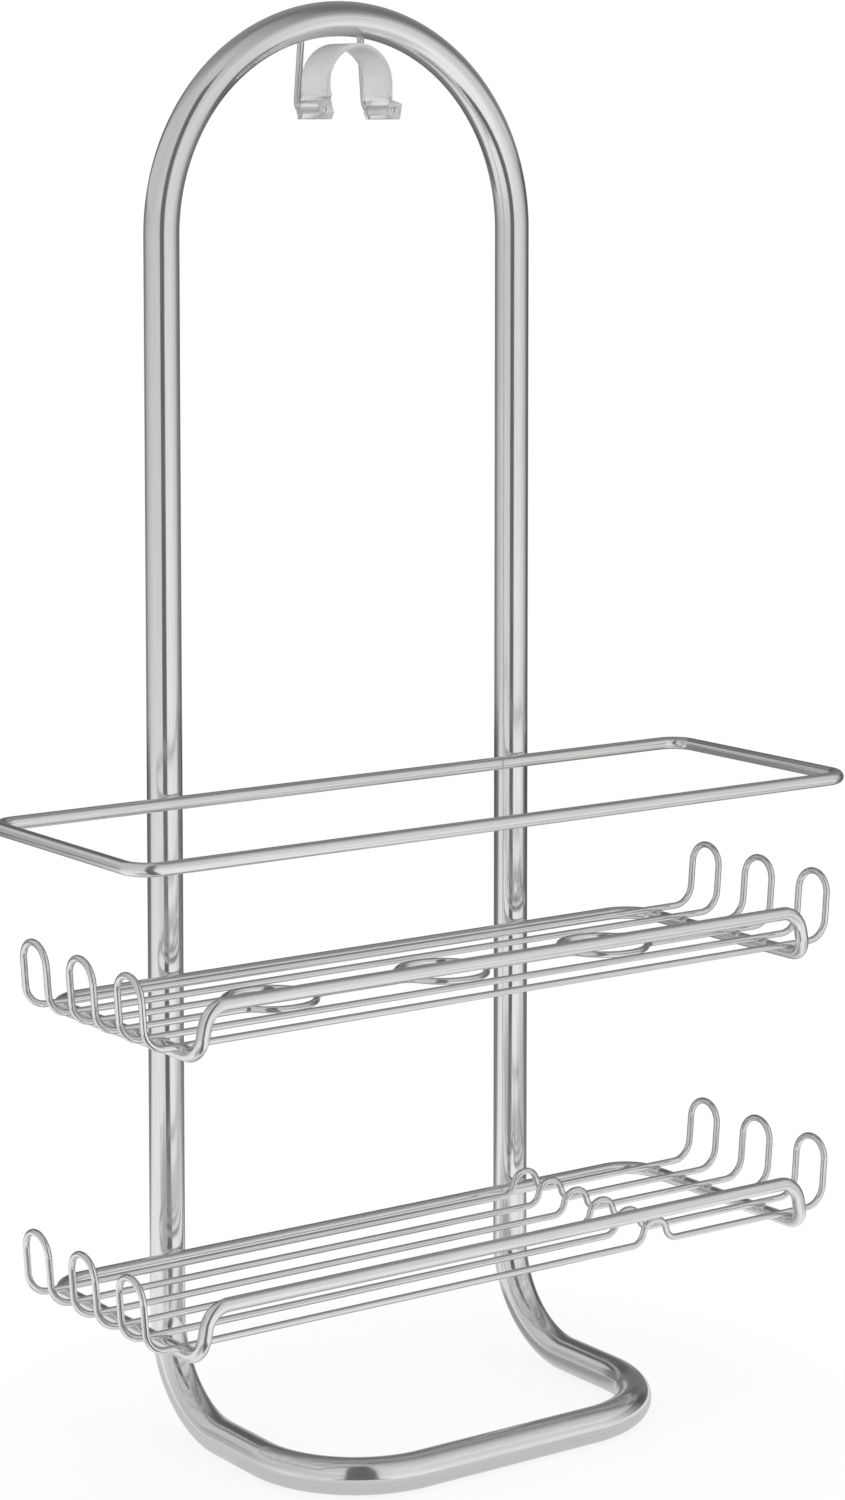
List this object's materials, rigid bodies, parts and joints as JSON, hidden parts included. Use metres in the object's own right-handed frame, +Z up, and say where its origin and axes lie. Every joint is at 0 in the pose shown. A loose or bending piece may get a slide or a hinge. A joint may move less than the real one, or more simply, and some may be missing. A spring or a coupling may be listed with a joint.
{
  "type": "shower caddy",
  "caption": "Hanging shower caddy: a bent tube hoop with a rim rail and wire shelves, hooks at the shelf ends, bottle rings, and a clear clip that grips the shower arm.",
  "frame": {"origin": "on the axis of the shower arm that the clip grips, in the plane of the hoop's two legs", "axes": "+Z up, +Y towards the wall along the shower arm, -Y the front, +X to the right seen from the front"},
  "size_m": [0.3876, 0.1491, 0.6437],
  "materials": {
    "frame_tube": "satin, drawn along the tube",
    "rail": "satin",
    "floor_wire": "bright satin",
    "clip": "clear, slightly milky moulding"
  },
  "bodies": {
    "frame": {"frame_tube": "frame_tube", "rim_rail": "rail", "upper_shelf_rail": "rail", "lower_shelf_rail": "rail", "upper_shelf_wire_back": "floor_wire", "upper_shelf_wire_middle": "floor_wire", "upper_shelf_wire_front": "floor_wire", "lower_shelf_wire_back": "floor_wire", "lower_shelf_wire_middle": "floor_wire", "lower_shelf_wire_front": "floor_wire", "hanger_wire": "floor_wire"},
    "clip": {"pipe_clip": "clip"}
  },
  "joints": [
    {"name": "clip_slide", "type": "slide", "parent": "frame", "child": "clip", "axis": [0, -1, 0], "range_m": [0, 0.015]}
  ]
}
